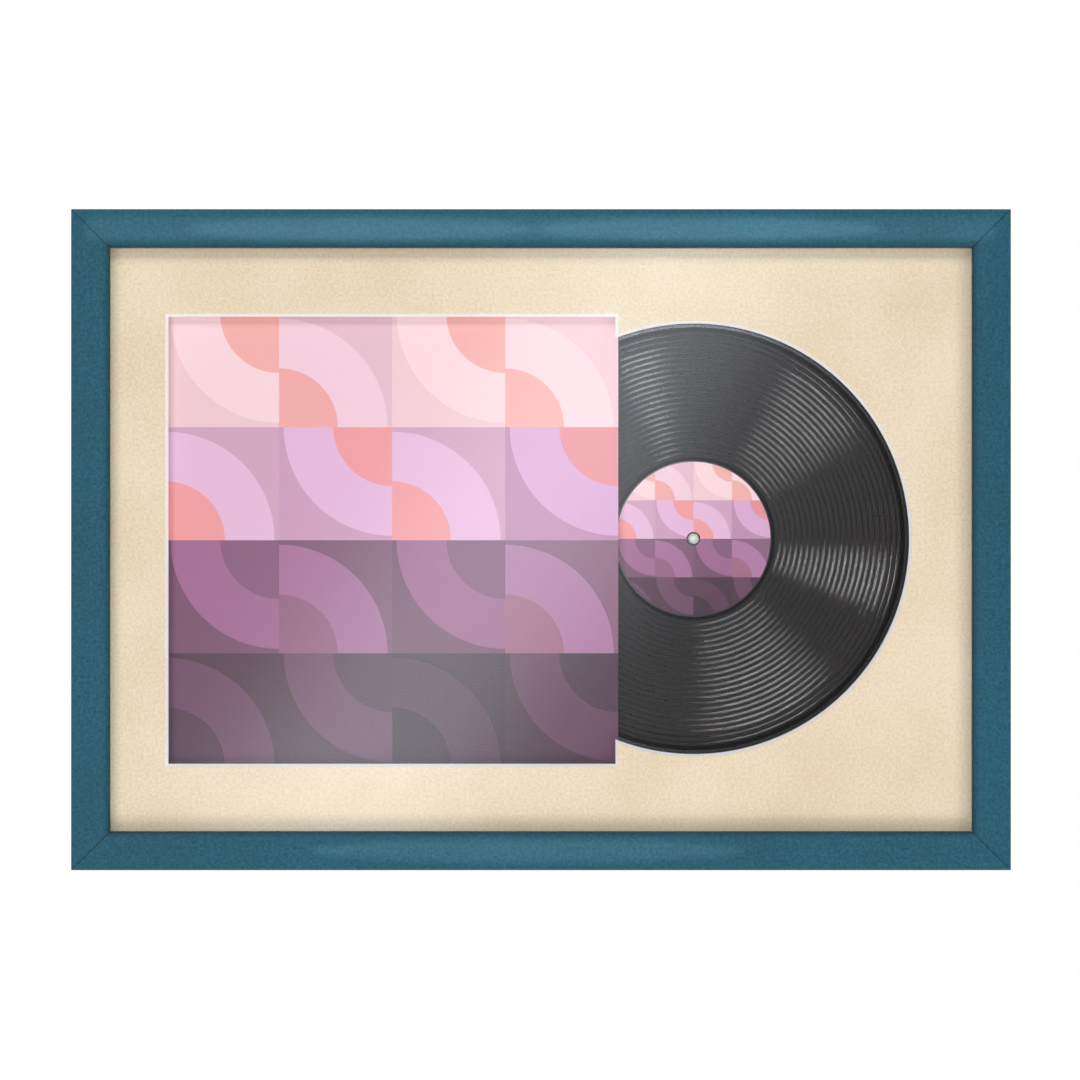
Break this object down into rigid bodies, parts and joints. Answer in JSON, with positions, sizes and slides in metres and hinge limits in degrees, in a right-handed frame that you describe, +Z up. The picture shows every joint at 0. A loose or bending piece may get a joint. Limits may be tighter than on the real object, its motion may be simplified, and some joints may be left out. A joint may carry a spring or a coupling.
{
  "type": "vinyl record frame",
  "caption": "Landscape wall frame: painted mitred rails, clear glazing and a bevelled window mat that shows a record beside its sleeve, with turn buttons and D-ring hangers at the back.",
  "frame": {"origin": "middle of the flat back of the top rail, midway between the two D-rings that the frame hangs on", "axes": "+X to the viewer's right, +Y out of the back towards the wall, +Z up; the front faces -Y"},
  "size_m": [0.6514, 0.0358, 0.4579],
  "materials": {
    "rail_paint": "satin",
    "clear_sheet": "gloss",
    "mat_board": "matte",
    "spacer_board": "matte",
    "sleeve_print": "satin",
    "record_vinyl": "gloss",
    "label_paper": "matte",
    "mount_board": "matte",
    "backing_fibreboard": "matte",
    "button_steel": "satin",
    "screw_steel": "satin",
    "hanger_steel": "satin",
    "nail_steel": "satin",
    "bumper_rubber": "matte"
  },
  "bodies": {
    "frame": {"top_rail": "rail_paint", "right_rail": "rail_paint", "bottom_rail": "rail_paint", "left_rail": "rail_paint", "glazing_sheet": "clear_sheet", "window_mat": "mat_board", "mat_spacer": "spacer_board", "sleeve_spacer": "spacer_board", "record_sleeve": "sleeve_print", "sleeve_carrier": "spacer_board", "record_spacer": "spacer_board", "vinyl_record": "record_vinyl", "front_label": "label_paper", "back_label": "label_paper", "mount_board": "mount_board", "backing_board": "backing_fibreboard", "button_screw_top_left": "screw_steel", "button_screw_top_right": "screw_steel", "button_screw_right_upper": "screw_steel", "button_screw_right_lower": "screw_steel", "button_screw_bottom_right": "screw_steel", "button_screw_bottom_left": "screw_steel", "button_screw_left_lower": "screw_steel", "button_screw_left_upper": "screw_steel", "hanger_strap_left": "hanger_steel", "hanger_strap_right": "hanger_steel", "hanger_screw_left_upper": "screw_steel", "hanger_screw_left_lower": "screw_steel", "hanger_screw_right_upper": "screw_steel", "hanger_screw_right_lower": "screw_steel", "wall_bumper_left": "bumper_rubber", "wall_bumper_right": "bumper_rubber", "corner_nail_top_right_1": "nail_steel", "corner_nail_top_right_2": "nail_steel", "corner_nail_bottom_right_1": "nail_steel", "corner_nail_bottom_right_2": "nail_steel", "corner_nail_bottom_left_1": "nail_steel", "corner_nail_bottom_left_2": "nail_steel", "corner_nail_top_left_1": "nail_steel", "corner_nail_top_left_2": "nail_steel"},
    "button_top_left": {"turn_button_top_left": "button_steel"},
    "button_top_right": {"turn_button_top_right": "button_steel"},
    "button_right_upper": {"turn_button_right_upper": "button_steel"},
    "button_right_lower": {"turn_button_right_lower": "button_steel"},
    "button_bottom_right": {"turn_button_bottom_right": "button_steel"},
    "button_bottom_left": {"turn_button_bottom_left": "button_steel"},
    "button_left_lower": {"turn_button_left_lower": "button_steel"},
    "button_left_upper": {"turn_button_left_upper": "button_steel"},
    "ring_left": {"hanger_ring_left": "hanger_steel"},
    "ring_right": {"hanger_ring_right": "hanger_steel"}
  },
  "joints": [
    {"name": "button_top_left_turn", "type": "hinge", "parent": "frame", "child": "button_top_left", "pos_m": [-0.17547, 0.0009, 0], "axis": [0, 1, 0], "continuous": true},
    {"name": "button_top_right_turn", "type": "hinge", "parent": "frame", "child": "button_top_right", "pos_m": [0.17547, 0.0009, 0], "axis": [0, 1, 0], "continuous": true},
    {"name": "button_right_upper_turn", "type": "hinge", "parent": "frame", "child": "button_right_upper", "pos_m": [0.31512, 0.0009, -0.07465], "axis": [0, 1, 0], "continuous": true},
    {"name": "button_right_lower_turn", "type": "hinge", "parent": "frame", "child": "button_right_lower", "pos_m": [0.31512, 0.0009, -0.36255], "axis": [0, 1, 0], "continuous": true},
    {"name": "button_bottom_right_turn", "type": "hinge", "parent": "frame", "child": "button_bottom_right", "pos_m": [0.17547, 0.0009, -0.4372], "axis": [0, 1, 0], "continuous": true},
    {"name": "button_bottom_left_turn", "type": "hinge", "parent": "frame", "child": "button_bottom_left", "pos_m": [-0.17547, 0.0009, -0.4372], "axis": [0, 1, 0], "continuous": true},
    {"name": "button_left_lower_turn", "type": "hinge", "parent": "frame", "child": "button_left_lower", "pos_m": [-0.31512, 0.0009, -0.36255], "axis": [0, 1, 0], "continuous": true},
    {"name": "button_left_upper_turn", "type": "hinge", "parent": "frame", "child": "button_left_upper", "pos_m": [-0.31512, 0.0009, -0.07465], "axis": [0, 1, 0], "continuous": true},
    {"name": "ring_left_swing", "type": "hinge", "parent": "frame", "child": "ring_left", "pos_m": [-0.31512, 0.0028, -0.1362], "axis": [1, 0, 0], "range_deg": [0, 175]},
    {"name": "ring_right_swing", "type": "hinge", "parent": "frame", "child": "ring_right", "pos_m": [0.31512, 0.0028, -0.1362], "axis": [1, 0, 0], "range_deg": [0, 175]}
  ]
}
